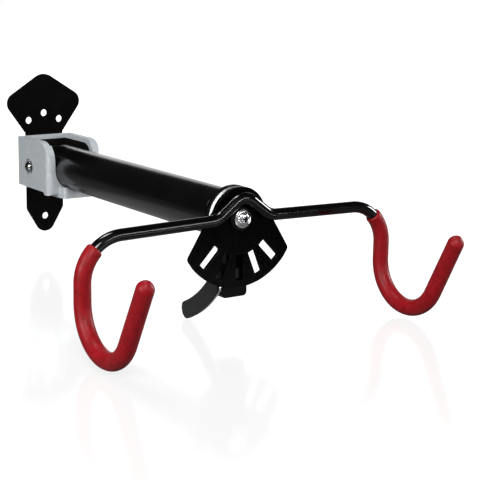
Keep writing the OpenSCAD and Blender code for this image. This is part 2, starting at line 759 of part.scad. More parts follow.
module latch_tooth() {
    fork = crank_pin_r + 0.35;     // half width of the fork's slot
    leg = 2;                       // length of the fork's legs below the crank pin
    color("#1a1a1b") difference() {
        translate([-tooth_w / 2, -tooth_front, -tooth_z - tooth_h / 2])
            cube([tooth_w, tooth_front - shaft_y + fork + 2.3, tooth_h]);
        translate([-tooth_w, -shaft_y - fork, -tooth_z - tooth_h])
            cube([2 * tooth_w, 2 * fork, tooth_h + fork]);
        translate([-tooth_w, -pocket_y - 0.5, -tooth_z - tooth_h])
            cube([2 * tooth_w, 2 * block_t, tooth_h - leg]);
    }
}

// The paddle's frame starts at the shaft: x runs along the lever's root towards the wall and down,
// and y runs across it.
paddle_lean = 49;      // slope of the paddle's centreline at its root, below the horizontal
paddle_root = -1;      // start of the paddle's centreline along the lever
paddle_off = -3;       // offset of the paddle's centreline across the lever
paddle_steps = 24;

// Points of the paddle's frame as distance from the wall and height
function paddle_frame(pts) = [for (p = pts)
    [shaft_y - p.x * cos(paddle_lean) - p.y * sin(paddle_lean),
     shaft_z - p.x * sin(paddle_lean) + p.y * cos(paddle_lean)]];

// Point of the paddle at the fraction t of its length, at the offset w across it
function paddle_at(t, w) =
    let (a = paddle_len * t / paddle_r * 180 / PI)
    [paddle_root + (paddle_r - w) * sin(a), paddle_off + paddle_r - (paddle_r - w) * cos(a)];

// Share of the paddle's half width that is left at step i: its last steps round off
function paddle_round(i) = sqrt(max(0.12, 1 - pow(max(0, i - paddle_steps + 3) / 3, 3)));

// Closed outline of the paddle with half width w: both edges, then the half circle round its root
function paddle_outline(w) =
    concat([for (i = [0:paddle_steps]) paddle_at(i / paddle_steps, w * paddle_round(i))],
           [for (i = [paddle_steps:-1:0]) paddle_at(i / paddle_steps, -w * paddle_round(i))],
           [for (i = [1:paddle_steps - 1]) let (a = 180 * i / paddle_steps)
               [paddle_root, paddle_off] - w * [sin(a), cos(a)]]);

core_r = 10.5;         // radius of the lever's metal core round the shaft
core_edge = 0.8;       // how far the core stays inside the paddle's edge

module lever_core() {
    x1 = -block_w / 2 - lever_gap;
    color("#c4c7ca") difference() {
        union() {
            crossing(core_r, x1 - core_t, x1, shaft_y, shaft_z);
            across(core_t, x1 - core_t / 2) polygon(paddle_frame(paddle_outline(paddle_w / 2 - core_edge)));
        }
        crossing(shaft_d / 2 + fit, x1 - core_t - eps, x1 + eps, shaft_y, shaft_z);
    }
}

module lever_paddle() {
    x1 = -block_w / 2 - lever_gap - core_t - 0.02;
    t = paddle_t - core_t;
    color("#2c2e30") across(t, x1 - t / 2) polygon(paddle_frame(paddle_outline(paddle_w / 2)));
}

module shaft_clip() {
    x0 = block_w / 2 + 0.5;
    color("silver") difference() {
        crossing(shaft_d / 2 + 2, x0, x0 + clip_t, shaft_y, shaft_z);
        crossing(shaft_d / 2 + fit, x0 - eps, x0 + clip_t + eps, shaft_y, shaft_z);
    }
}

wall_plate();
bracket_screws();
pivot_bracket();
bracket_liner();
pivot_bolt();
pivot_washer();
pivot_nut();
root_knuckle();
pivot_bushes();
arm_tube();
root_rivets();
hub_plug();
hub_rivets();
wear_washer();
hub_sleeve();
thrust_washer();
disc_spring();
centre_bolt();
centre_nut();
latch_cover();
cover_screws();
sector_plate();
sector_boss();
cradle_rod();
left_hook_sleeve();
right_hook_sleeve();
lever_shaft();
lever_core();
lever_paddle();
shaft_clip();
latch_tooth();
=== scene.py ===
"""Bicycle wall rack: finished surfaces, finishes, floor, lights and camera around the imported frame.

Everything is in metres in the frame's own axes: +Z up, the wall is y = 0, and the arm points to -Y.
"""
import math

import bmesh
import bpy
import numpy as np
from mathutils import Matrix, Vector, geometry


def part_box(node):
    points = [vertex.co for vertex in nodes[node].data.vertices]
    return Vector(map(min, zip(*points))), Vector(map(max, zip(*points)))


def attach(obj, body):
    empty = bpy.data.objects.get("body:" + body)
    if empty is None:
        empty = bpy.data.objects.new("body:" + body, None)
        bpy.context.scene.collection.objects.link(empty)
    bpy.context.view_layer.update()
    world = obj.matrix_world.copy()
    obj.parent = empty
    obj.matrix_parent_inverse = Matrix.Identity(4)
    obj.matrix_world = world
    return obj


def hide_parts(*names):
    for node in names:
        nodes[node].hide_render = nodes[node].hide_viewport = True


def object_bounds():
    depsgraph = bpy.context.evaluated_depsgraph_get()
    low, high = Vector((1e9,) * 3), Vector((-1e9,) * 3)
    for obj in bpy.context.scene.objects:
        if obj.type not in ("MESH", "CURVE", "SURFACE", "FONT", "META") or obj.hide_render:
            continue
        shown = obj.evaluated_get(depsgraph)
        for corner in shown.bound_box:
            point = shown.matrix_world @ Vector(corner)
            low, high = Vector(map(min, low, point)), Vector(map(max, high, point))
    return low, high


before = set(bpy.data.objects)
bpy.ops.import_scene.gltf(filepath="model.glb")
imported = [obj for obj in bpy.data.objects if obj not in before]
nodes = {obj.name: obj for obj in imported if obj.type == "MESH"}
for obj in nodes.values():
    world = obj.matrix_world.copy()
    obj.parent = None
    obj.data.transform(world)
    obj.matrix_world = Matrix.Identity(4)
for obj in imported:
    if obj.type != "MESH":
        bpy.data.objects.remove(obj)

cad_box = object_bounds()
MM = 0.001


# ---------------------------------------------------------------- mesh helpers

def mesh_piece(name, verts, faces, smooth=None):
    """A mesh object from whole arrays of points and faces; smooth is one truth value for each face."""
    mesh = bpy.data.meshes.new(name)
    mesh.from_pydata(np.asarray(verts).tolist(), [], faces)
    flags = np.ones(len(mesh.polygons), bool) if smooth is None else np.asarray(smooth, bool)
    mesh.polygons.foreach_set("use_smooth", flags)
    mesh.update()
    piece = bpy.data.objects.new(name, mesh)
    bpy.context.scene.collection.objects.link(piece)
    return piece


def grid_faces(rows, columns, start=0):
    """Quads of a rows x columns grid of points whose columns close up; start is the first point's number."""
    r, c = np.meshgrid(np.arange(rows - 1), np.arange(columns), indexing="ij")
    here, below = r * columns, (r + 1) * columns
    beside = (c + 1) % columns
    quads = np.stack([here + c, here + beside, below + beside, below + c], -1)
    return (quads.reshape(-1, 4) + start).tolist()


def closed_up(piece):
    """Merges doubled points, such as a pole's, drops faces with no area, and turns the normals outwards."""
    work = bmesh.new()
    work.from_mesh(piece.data)
    bmesh.ops.remove_doubles(work, verts=work.verts, dist=1e-6)
    bmesh.ops.dissolve_degenerate(work, edges=work.edges, dist=1e-7)
    bmesh.ops.recalc_face_normals(work, faces=work.faces)
    work.to_mesh(piece.data)
    work.free()
    piece.data.update()
    return piece


def finish(piece, body, material, slot, *replaced):
    """Gives a finished piece its material and its body, and hides the CAD nodes that it stands for. The slot
    argument is not used.
    """
    piece.data.materials.clear()
    piece.data.materials.append(material)
    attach(piece, body)
    if replaced:
        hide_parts(*replaced)
    return piece


def turned(name, profile, centre, axis, segments=128):
    """Surface of revolution: each profile point (distance along the axis, radius) goes once round the axis.

    A point is centre + distance * axis + radius * (cos a * u + sin a * v), with u and v across the axis.
    """
    axis = np.asarray(axis, float)
    u = np.cross(axis, [0.0, 0.0, 1.0] if abs(axis[2]) < 0.9 else [1.0, 0.0, 0.0])
    u /= np.linalg.norm(u)
    v = np.cross(axis, u)
    a = np.linspace(0, 2 * np.pi, segments, endpoint=False)
    along, radius = np.asarray(profile, float).T
    ring = np.cos(a)[:, None] * u + np.sin(a)[:, None] * v
    points = np.asarray(centre) + along[:, None, None] * axis + radius[:, None, None] * ring[None]
    piece = mesh_piece(name, points.reshape(-1, 3), grid_faces(len(along), segments))
    return closed_up(piece)


def rounded_profile(corners, radii, steps=6):
    """Points of a polyline whose inner corners are arcs of given radii; a zero radius keeps the corner."""
    corners = np.asarray(corners, float)
    out = [corners[:1]]
    for before, here, after, r in zip(corners[:-2], corners[1:-1], corners[2:], radii):
        if r <= 0:
            out.append(here[None])
            continue
        u, v = (before - here), (after - here)
        u, v = u / np.linalg.norm(u), v / np.linalg.norm(v)
        half = math.acos(np.clip(u @ v, -1, 1)) / 2
        middle = (u + v) / np.linalg.norm(u + v)
        centre = here + middle * r / math.sin(half)
        start = here + u * r / math.tan(half) - centre
        end = here + v * r / math.tan(half) - centre
        t = np.linspace(0, 1, steps + 1)[:, None]
        sweep = math.pi - 2 * half
        out.append(centre + (np.sin((1 - t) * sweep) * start + np.sin(t * sweep) * end) / math.sin(sweep))
    out.append(corners[-1:])
    return np.concatenate(out)


def loop_rounded(corners, radii, steps=10):
    """Closed outline through corners, each rounded by its own radius."""
    corners = np.asarray(corners, float)
    ring = np.concatenate([corners[-1:], corners, corners[:1]])
    return rounded_profile(ring, radii, steps)[1:-1]


def swept(name, path, side, radius, segments=40):
    """Round bar along a path: each ring is path + radius * (cos a * side + sin a * (tangent x side)).

    The attribute "run" holds each point's distance along the path.
    """
    tangent = np.gradient(path, axis=0)
    tangent /= np.linalg.norm(tangent, axis=1, keepdims=True)
    side = side - np.sum(side * tangent, 1, keepdims=True) * tangent
    side /= np.linalg.norm(side, axis=1, keepdims=True)
    other = np.cross(tangent, side)
    a = np.linspace(0, 2 * np.pi, segments, endpoint=False)[None, :, None]
    points = path[:, None] + radius[:, None, None] * (np.cos(a) * side[:, None] + np.sin(a) * other[:, None])
    piece = mesh_piece(name, points.reshape(-1, 3), grid_faces(len(path), segments))
    run = np.concatenate([[0], np.cumsum(np.linalg.norm(np.diff(path, axis=0), axis=1))])
    along = piece.data.attributes.new("run", "FLOAT", "POINT")
    along.data.foreach_set("value", np.repeat(run, segments).astype(np.float32))
    return closed_up(piece)


def inset_loop(loop, depth):
    """A closed outline moved into the material, to the left of its own direction, with mitred corners."""
    ahead = np.roll(loop, -1, 0) - loop
    ahead /= np.linalg.norm(ahead, axis=1, keepdims=True)
    normal = np.stack([-ahead[:, 1], ahead[:, 0]], 1)
    before = np.roll(normal, 1, 0)
    mitre = (normal + before) / (1 + np.sum(normal * before, 1, keepdims=True))
    return loop + depth * mitre


def turns_left(loop):
    """The outline in the direction that keeps its inside on the left."""
    x, z = loop.T
    return loop if np.sum(x * np.roll(z, -1) - z * np.roll(x, -1)) > 0 else loop[::-1]


def sheet_piece(name, outline, holes, near, far, edge, steps=4):
    """Flat plate with rounded edges, from an outline and holes in X and Z; near and far are from the wall.

    Each edge wall is the outline carried through a profile of two quarter circles: at the angle t the wall
    stands at inset edge * (1 - cos t) and depth edge * (1 - sin t). The flat faces fill the loops between.
    """
    loops = [turns_left(outline)] + [turns_left(h)[::-1] for h in holes]
    t = np.linspace(np.pi / 2, 0, steps + 1)
    inset = edge * (1 - np.cos(t))
    depth = edge * (1 - np.sin(t))
    insets = np.concatenate([inset, inset[::-1]])
    levels = np.concatenate([far - depth, (near + depth)[::-1]])
    verts, faces, count = [], [], 0
    for loop in loops:
        rows = np.stack([np.column_stack([inset_loop(loop, i), np.full(len(loop), y)])
                         for i, y in zip(insets, levels)])
        verts.append(rows.reshape(-1, 3))
        faces += grid_faces(len(insets), len(loop), start=count)
        count += rows.shape[0] * rows.shape[1]
    walls = len(faces)
    flat = [inset_loop(loop, edge) for loop in loops]
    starts = np.cumsum([0] + [len(f) for f in flat]).tolist()
    joined = np.concatenate(flat)
    edges = []
    for first, past in zip(starts[:-1], starts[1:]):
        edges += [(i, i + 1) for i in range(first, past - 1)] + [(past - 1, first)]
    filled = geometry.delaunay_2d_cdt([tuple(p) for p in joined.tolist()], edges, [], 1, 1e-9)
    corners = np.array([tuple(p) for p in filled[0]])
    tris = np.array(filled[2])
    middles = corners[tris].mean(1)
    solid = inside(middles, flat[0])
    for hole in flat[1:]:
        solid &= ~inside(middles, hole)
    tris = tris[solid]
    for level in (far, near):
        verts.append(np.column_stack([corners, np.full(len(corners), level)]))
        faces += (tris + count).tolist()
        count += len(corners)
    points = np.concatenate(verts)[:, [0, 2, 1]] * [1, -1, 1]
    smooth = np.arange(len(faces)) < walls
    return closed_up(mesh_piece(name, points, faces, smooth))


def inside(points, loop):
    """Whether each point is inside a closed outline: a ray to the right crosses it an odd number of times."""
    x, z = points[:, 0][:, None], points[:, 1][:, None]
    x0, z0 = loop.T
    x1, z1 = np.roll(loop, -1, 0).T
    spans = (z0 > z) != (z1 > z)
    level = np.where(z1 == z0, 1.0, z1 - z0)
    return (np.sum(spans & (x < x0 + (z - z0) * (x1 - x0) / level), 1) % 2).astype(bool)


def softened(node, width, segments=3, angle=28):
    """A copy of a CAD node with doubles merged, flat faces joined and sharp edges rounded by width."""
    mesh = nodes[node].data.copy()
    mesh.name = node + "_soft"
    piece = bpy.data.objects.new(node + "_soft", mesh)
    bpy.context.scene.collection.objects.link(piece)
    work = bmesh.new()
    work.from_mesh(mesh)
    bmesh.ops.remove_doubles(work, verts=work.verts, dist=2e-6)
    bmesh.ops.dissolve_limit(work, angle_limit=math.radians(0.6), verts=work.verts, edges=work.edges)
    for face in work.faces:
        face.smooth = True
    work.to_mesh(mesh)
    work.free()
    for layer in ("sharp_edge", "sharp_face"):
        if layer in mesh.attributes:
            mesh.attributes.remove(mesh.attributes[layer])
    mesh.set_sharp_from_angle(angle=math.radians(angle))
    bevel = piece.modifiers.new("rounded_edges", "BEVEL")
    bevel.width = width
    bevel.segments = segments
    bevel.limit_method = "ANGLE"
    bevel.angle_limit = math.radians(angle)
    bevel.harden_normals = True
    bevel.miter_outer = "MITER_ARC"
    bevel.use_clamp_overlap = True
    return piece


def arc(centre, radius, start, end, steps):
    """Points on a circle in a plane, from the angle start to the angle end in degrees."""
    a = np.radians(np.linspace(start, end, steps + 1))
    return np.asarray(centre) + radius * np.column_stack([np.cos(a), np.sin(a)])


def dot_hole(x, z, radius, steps=40):
    """A round hole's outline."""
    return arc((x, z), radius, 0, 360 - 360 / steps, steps - 1)


# ---------------------------------------------------------------- material helpers

def colour(code):
    """Linear colour, with full alpha, from an sRGB hex code."""
    value = np.array([int(code[i:i + 2], 16) for i in (1, 3, 5)]) / 255
    linear = np.where(value <= 0.04045, value / 12.92, ((value + 0.055) / 1.055) ** 2.4)
    return (*linear.tolist(), 1.0)


def add(tree, kind, settings=None, **inputs):
    """Adds a node with its settings; each named input takes a value or is linked to another node's output.

    An input's name has underscores for spaces; i0, i1 and so on are inputs by their number.
    """
    made = tree.nodes.new("ShaderNode" + kind)
    for key, value in (settings or {}).items():
        setattr(made, key, value)
    for key, value in inputs.items():
        by_number = key[0] == "i" and key[1:].isdigit()
        socket = made.inputs[int(key[1:]) if by_number else key.replace("_", " ")]
        if isinstance(value, bpy.types.NodeSocket):
            tree.links.new(value, socket)
        else:
            socket.default_value = value
    return made


def shader(name, **inputs):
    """A new material with its Principled shader, and the Object coordinates for its patterns."""
    material = bpy.data.materials.new(name)
    material.use_nodes = True
    tree = material.node_tree
    tree.nodes.clear()
    surface = add(tree, "BsdfPrincipled", **inputs)
    out = add(tree, "OutputMaterial")
    tree.links.new(surface.outputs[0], out.inputs[0])
    where = add(tree, "TexCoord").outputs["Object"]
    return material, tree, surface, where


def two_tone(tree, surface, where, low, high, size, detail=3.0, spread=(0.35, 0.65)):
    """Base colour that drifts between two close tones; size is the patch size in metres."""
    cloud = add(tree, "TexNoise", Vector=where, Scale=1 / size, Detail=detail, Roughness=0.55)
    ramp = add(tree, "ValToRGB", Fac=cloud.outputs["Fac"])
    ramp.color_ramp.elements[0].position, ramp.color_ramp.elements[1].position = spread
    ramp.color_ramp.elements[0].color, ramp.color_ramp.elements[1].color = colour(low), colour(high)
    tree.links.new(ramp.outputs["Color"], surface.inputs["Base Color"])


CLOUD_LOW, CLOUD_HIGH = 0.3, 0.7    # the noise values that are spread over a range of roughness


def uneven_gloss(tree, surface, where, low, high, size):
    """Roughness that drifts between two values; size is the patch size in metres."""
    cloud = add(tree, "TexNoise", Vector=where, Scale=1 / size, Detail=4.0)
    spread = add(tree, "MapRange", Value=cloud.outputs["Fac"], From_Min=CLOUD_LOW, From_Max=CLOUD_HIGH,
                 To_Min=low, To_Max=high)
    tree.links.new(spread.outputs["Result"], surface.inputs["Roughness"])


def relief(tree, surface, height, depth, strength=1.0):
    """Bump from a height between 0 and 1 that stands for a depth in metres."""
    bump = add(tree, "Bump", Height=height, Strength=strength, Distance=depth)
    tree.links.new(bump.outputs["Normal"], surface.inputs["Normal"])


def grain(tree, where, size, detail=2.0):
    """Even noise of one grain size in metres."""
    return add(tree, "TexNoise", Vector=where, Scale=1 / size, Detail=detail).outputs["Fac"]


# ---------------------------------------------------------------- finishes

def powder_coat(name, low, high, rough, peel, film):
    """Baked coat on steel: a smooth film with a slight orange peel and patches a little glossier than others.

    rough is the mean roughness, peel the size of the orange peel in metres, and film the specular level.
    """
    material, tree, surface, where = shader(name, IOR=1.5, Specular_IOR_Level=film)
    two_tone(tree, surface, where, low, high, size=0.03)
    uneven_gloss(tree, surface, where, rough - 0.04, rough + 0.06, size=0.012)
    relief(tree, surface, grain(tree, where, peel), depth=0.00004, strength=0.5)
    return material


def wet_paint_tube():
    """Gloss black enamel on a drawn tube: deep reflections, with a fine orange peel and faint draw lines."""
    material, tree, surface, where = shader("gloss_black_enamel", IOR=1.5)
    two_tone(tree, surface, where, "#030304", "#050506", size=0.05)
    uneven_gloss(tree, surface, where, 0.16, 0.24, size=0.02)
    stretched = add(tree, "Mapping", Vector=where, Scale=(1.0, 0.06, 1.0))
    relief(tree, surface, grain(tree, stretched.outputs["Vector"], 0.0016), depth=0.00002, strength=0.35)
    return material


def painted_casting():
    """Silver-grey enamel on a die casting: satin, with fine metal flake and the casting's faint waves."""
    material, tree, surface, where = shader("silver_grey_painted_casting", IOR=1.5, Metallic=0.25,
                                            Coat_Weight=0.12, Coat_Roughness=0.3)
    two_tone(tree, surface, where, "#a9aeb2", "#b3b8bc", size=0.006)
    uneven_gloss(tree, surface, where, 0.42, 0.54, size=0.008)
    waves = grain(tree, where, 0.009)
    speck = grain(tree, where, 0.0007)
    mixed = add(tree, "Math", {"operation": "MULTIPLY_ADD"}, i0=speck, i1=0.35, i2=waves)
    relief(tree, surface, mixed.outputs[0], depth=0.00012, strength=0.35)
    return material


def dipped_vinyl():
    """Soft red vinyl over foam: satin, with a fine pebble, slight mottling and light spread in the skin."""
    material, tree, surface, where = shader("red_dipped_vinyl", IOR=1.46, Specular_IOR_Level=0.22,
                                            Sheen_Weight=0.02, Sheen_Roughness=0.5,
                                            Subsurface_Weight=0.06, Subsurface_Scale=0.002,
                                            Subsurface_Radius=(1.0, 0.25, 0.2))
    two_tone(tree, surface, where, "#78060e", "#890b15", size=0.007, detail=4.0)
    uneven_gloss(tree, surface, where, 0.38, 0.5, size=0.006)
    pebble = add(tree, "TexVoronoi", {"feature": "SMOOTH_F1"}, Vector=where, Scale=1 / 0.0011)
    lumps = grain(tree, where, 0.006)
    mixed = add(tree, "Math", {"operation": "MULTIPLY_ADD"}, i0=pebble.outputs["Distance"], i1=0.3, i2=lumps)
    relief(tree, surface, mixed.outputs[0], depth=0.00016, strength=0.35)
    return material


RINGS_PER_SCALE = 0.314     # the wave texture's scale times the distance between its rings


def turned_metal(name, low, high, rough, centre, axis_turn, pitch=0.0006):
    """Machined metal: fine rings round the turning axis, pitch metres apart, which fan out a highlight."""
    material, tree, surface, where = shader(name, Metallic=1.0)
    two_tone(tree, surface, where, low, high, size=0.004)
    placed = add(tree, "Mapping", {"vector_type": "TEXTURE"}, Vector=where,
                 Location=centre, Rotation=axis_turn)
    rings = add(tree, "TexWave", {"wave_type": "RINGS", "rings_direction": "Z"},
                Vector=placed.outputs["Vector"], Scale=RINGS_PER_SCALE / pitch,
                Distortion=0.6, Detail=2.0, Detail_Scale=3.0)
    uneven_gloss(tree, surface, where, rough - 0.05, rough + 0.08, size=0.003)
    relief(tree, surface, rings.outputs["Fac"], depth=0.00002, strength=0.4)
    return material


def plated_steel(name, low, high, rough):
    """Plated steel: bright, with soft cloudy patches and the odd handling scratch."""
    material, tree, surface, where = shader(name, Metallic=1.0)
    two_tone(tree, surface, where, low, high, size=0.004)
    uneven_gloss(tree, surface, where, rough - 0.05, rough + 0.09, size=0.002)
    scratched = add(tree, "Mapping", Vector=where, Scale=(1.0, 0.15, 1.0), Rotation=(0.4, 0.2, 0.9))
    relief(tree, surface, grain(tree, scratched.outputs["Vector"], 0.0005, 4.0), depth=0.00002, strength=0.3)
    return material


def moulded_plastic(name, low, high, rough, texture=0.0007, film=0.5):
    """Moulded plastic: even colour, a fine spark-eroded texture, and patches a little glossier than most."""
    material, tree, surface, where = shader(name, IOR=1.53, Specular_IOR_Level=film)
    two_tone(tree, surface, where, low, high, size=0.01)
    uneven_gloss(tree, surface, where, rough - 0.05, rough + 0.07, size=0.004)
    relief(tree, surface, grain(tree, where, texture, 3.0), depth=0.00004, strength=0.45)
    return material


WALL_BLACK = powder_coat("satin_black_powder_coat", "#010101", "#020202",
                         rough=0.34, peel=0.0016, film=0.05)
ROD_BLACK = powder_coat("gloss_black_powder_coat_rod", "#020202", "#030303",
                        rough=0.1, peel=0.0022, film=0.5)
SECTOR_BLACK = powder_coat("gloss_black_powder_coat_plate", "#010101", "#020202",
                           rough=0.2, peel=0.0018, film=0.06)
TUBE_BLACK = wet_paint_tube()
CASTING_GREY = painted_casting()
VINYL_RED = dipped_vinyl()
HUB_BLACK = moulded_plastic("black_glass_filled_nylon", "#020202", "#040404",
                            rough=0.36, texture=0.0007, film=0.12)
# Black nylon for the thrust washer and the latch cover. On the bracket liner this black is painted shade: it
# gives the dark inside the bracket below the rim.
BLACK_NYLON_AND_SHADE = moulded_plastic("black_nylon_and_painted_shade", "#030303", "#050505",
                              rough=0.5, texture=0.0007, film=0.15)
LEVER_GREY = moulded_plastic("dark_grey_moulded_lever", "#141516", "#191a1c",
                             rough=0.42, texture=0.0009, film=0.3)
ACETAL = moulded_plastic("natural_acetal", "#cfcabb", "#d8d3c6",
                         rough=0.4)
ZINC = plated_steel("zinc_plated_steel", "#b4b6b6", "#c6c8c9", rough=0.28)
CHROME = plated_steel("bright_nickel_plate", "#e6e8ea", "#f2f4f6", rough=0.2)
MIRROR_CHROME = plated_steel("polished_chrome", "#8e9092", "#9a9c9e", rough=0.09)
TOOTH_STEEL = powder_coat("black_oxide_steel", "#050505", "#080808",
                          rough=0.3, peel=0.0009, film=0.5)
RING_SILVER = turned_metal("turned_aluminium_ring", "#c4c6c8", "#d0d2d4",
                           rough=0.4, centre=(0.0, 0.0, 0.0), axis_turn=(math.pi / 2, 0, 0))

# ---------------------------------------------------------------- arm tube

tube_low, tube_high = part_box("arm_tube")
TUBE_R = (tube_high.x - tube_low.x) / 2
TUBE_WALL = 2.5 * MM
OUTER_EDGE = 0.6 * MM       # radius of the tube ends' outer edges
INNER_EDGE = 0.3 * MM       # radius of the tube ends' inner edges
tube_back, tube_front = -tube_high.y, -tube_low.y
TOWARDS_FRONT = (0.0, -1.0, 0.0)
tube_walls = [(tube_back, TUBE_R - TUBE_WALL), (tube_back, TUBE_R), (tube_front, TUBE_R),
              (tube_front, TUBE_R - TUBE_WALL), (tube_back, TUBE_R - TUBE_WALL), (tube_back, TUBE_R)]
tube_section = rounded_profile(tube_walls, [OUTER_EDGE, OUTER_EDGE, INNER_EDGE, INNER_EDGE])[1:-1]
tube_section = np.concatenate([tube_section, tube_section[:1]])
finish(turned("arm_tube_skin", tube_section, (0, 0, 0), TOWARDS_FRONT, 160),
       "arm", TUBE_BLACK, "tube_black", "arm_tube")

# ---------------------------------------------------------------- rod and sleeves

_, rod_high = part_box("cradle_rod")
sleeve_low, sleeve_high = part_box("right_hook_sleeve")
sector_low, sector_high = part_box("sector_plate")
ROD_R = 6 * MM
SLEEVE_R = 8.6 * MM
HOOK_X = sleeve_high.x - SLEEVE_R
ROD_Y = sector_low.y - ROD_R            # the rod lies on the sector plate's front
ARM_Z = 1.8 * MM                        # height of the arms' line at x = 0
ARM_DROOP = math.radians(1.2)           # slope of the arms, outwards and down
CORNER_R = 41.4 * MM                    # bend from an arm down into its hook
CREST_R = 16 * MM                       # top of the hump over the hub bolt
FOOT_R = 25 * MM                        # bend from the hump's flank into the arm
FLANK = math.radians(37)                # slope of the hump's flank
HOOK_R = 43.6 * MM
HOOK_LEAN = math.radians(27.5)          # lean of the tip away from the wall
TIP_LEN = 73 * MM
SLEEVE_START = math.radians(48)         # angle on the corner's arc at which the sleeve starts
END_CLEARANCE = 0.4 * MM                # from the rod's end to the inside of the sleeve's tip
CREST_Z = rod_high.z - ROD_R
hook_z = sleeve_low.z + SLEEVE_R + HOOK_R


def bent(centre, radius, start, end, step=1.6 * MM):
    """Points along an arc about centre, from one angle to another in radians, about a step apart."""
    a = np.linspace(start, end, max(3, int(abs(end - start) * radius / step)))
    return np.asarray(centre) + radius * np.column_stack([np.cos(a), np.sin(a)])


def straight(start, end, count):
    """The inner points of a line that is divided evenly by count points, its two ends among them."""
    t = np.linspace(0, 1, count)[1:-1, None]
    return start + t * (end - start)


def right_arm_path():
    """The right arm's centreline in X and Z: crest arc, flank, foot arc, drooping arm, and corner arc down.

    Also gives the number of points in the corner arc, which come last.
    """
    crest_centre = np.array([0, CREST_Z - CREST_R])
    crest = bent(crest_centre, CREST_R, math.pi / 2, math.pi / 2 - FLANK, 0.8 * MM)
    down = np.array([math.cos(FLANK), -math.sin(FLANK)])
    shift = FOOT_R * np.array([math.sin(FLANK) - math.sin(ARM_DROOP), math.cos(FLANK) - math.cos(ARM_DROOP)])
    line = ARM_Z - math.tan(ARM_DROOP) * (crest[-1, 0] + shift[0])
    length = (crest[-1, 1] + shift[1] - line) / (math.sin(FLANK) - math.cos(FLANK) * math.tan(ARM_DROOP))
    flank_end = crest[-1] + length * down
    foot_centre = flank_end + FOOT_R * np.array([math.sin(FLANK), math.cos(FLANK)])
    foot = bent(foot_centre, FOOT_R, 1.5 * math.pi - FLANK, 1.5 * math.pi - ARM_DROOP, 0.8 * MM)
    corner_x = HOOK_X - CORNER_R
    corner_z = ARM_Z - corner_x * math.tan(ARM_DROOP) - CORNER_R / math.cos(ARM_DROOP)
    corner_centre = np.array([corner_x, corner_z])
    corner = bent(corner_centre, CORNER_R, math.pi / 2 - ARM_DROOP, 0)
    flank = straight(crest[-1], flank_end, 9)
    arm = straight(foot[-1], corner[0], 40)
    return np.concatenate([crest, flank, foot, arm, corner]), len(corner)


def right_hook_path():
    """The right hook's centreline in distance from the wall and Z: leg, bend, and tip to the sleeve's apex.

    Also gives the number of points in the leg, which come first.
    """
    arm, _ = right_arm_path()
    top = np.array([-ROD_Y, arm[-1, 1]])
    leg = straight(top, np.array([-ROD_Y, hook_z]), 14)
    turn = np.linspace(0, math.pi - HOOK_LEAN, 72)
    bend = np.array([-ROD_Y + HOOK_R, hook_z]) + HOOK_R * np.column_stack([-np.cos(turn), -np.sin(turn)])
    lean = np.array([math.sin(HOOK_LEAN), math.cos(HOOK_LEAN)])
    tip = bend[-1] + np.linspace(0, 1, 60)[1:, None] * TIP_LEN * lean
    return np.concatenate([leg, bend, tip]), len(leg)


def right_half():
    """Right half of the rod's centreline, and the direction each ring starts from.

    The start direction is across the arms' plane on the arms, and turns down the leg until it is across the
    hook's plane.
    """
    arm, _ = right_arm_path()
    hook, leg = right_hook_path()
    arm_points = np.column_stack([arm[:, 0], np.full(len(arm), ROD_Y), arm[:, 1]])
    hook_points = np.column_stack([np.full(len(hook), HOOK_X), -hook[:, 0], hook[:, 1]])
    share = np.concatenate([np.zeros(len(arm)), np.linspace(0, 1, leg), np.ones(len(hook) - leg)])
    turn = share * math.pi / 2
    side = np.column_stack([np.sin(turn), np.cos(turn), np.zeros(len(turn))])
    return np.concatenate([arm_points, hook_points]), side


right_path, right_side = right_half()
MIRROR = np.array([-1.0, 1.0, 1.0])
run = np.concatenate([[0], np.cumsum(np.linalg.norm(np.diff(right_path, axis=0), axis=1))])
rod_stop = run[-1] - SLEEVE_R - END_CLEARANCE
kept = run < rod_stop
half_path, half_side = right_path[kept], right_side[kept]
rod_path = np.concatenate([(half_path * MIRROR)[:0:-1], half_path])
rod_side = np.concatenate([(half_side * MIRROR)[:0:-1], half_side])
# Each end is closed by a pole of zero radius, a hundredth of a step beyond the last ring.
POLE_STEP = 0.01
rod_path = np.concatenate([rod_path[:1], rod_path, rod_path[-1:]])
rod_side = np.concatenate([rod_side[:1], rod_side, rod_side[-1:]])
nudge = np.zeros_like(rod_path)
nudge[0] = (rod_path[1] - rod_path[2]) * POLE_STEP
nudge[-1] = (rod_path[-2] - rod_path[-3]) * POLE_STEP
rod_radius = np.concatenate([[0.0], np.full(len(rod_path) - 2, ROD_R), [0.0]])
finish(swept("cradle_rod_skin", rod_path + nudge, rod_side, rod_radius, 48),
       "cradle", ROD_BLACK, "rod_black", "cradle_rod")

CAP_LEN = 1.12 * SLEEVE_R               # length of the sleeve's closing tip
TIP_POWER = 0.78                        # 0.5 would close the tip as a half ellipse; more leaves a blunt point
LEG_THINNER = 0.35 * MM                 # how much less the sleeve's radius is on the leg than round the bend
SWELL_FROM, SWELL_OVER = 0.03, 0.09     # where the swell starts along the sleeve, and its length
SETTLE_BY = 0.2 * MM                    # how much the radius drops again after the bend
SETTLE_FROM, SETTLE_OVER = 0.17, 0.05   # where that drop starts along the sleeve, and its length
LIP_LEN = 1.1 * MM                      # length of the rounding at the sleeve's open end
LIP_DROP = 0.7 * MM                     # drop of that rounding
SLEEVE_FIT = 0.05 * MM                  # gap between the rod and the sleeve's mouth
MOUTH_STEP = 0.002                      # the mouth's ring stands this share of a path step outside the lip
MOUTH_DEPTH = 300                       # the ring within the mouth is this many times as far the other way


def eased(s, start, length):
    """Rises smoothly from 0 at start to 1 at start + length."""
    return 0.5 - 0.5 * np.cos(np.pi * np.clip((s - start) / length, 0, 1))


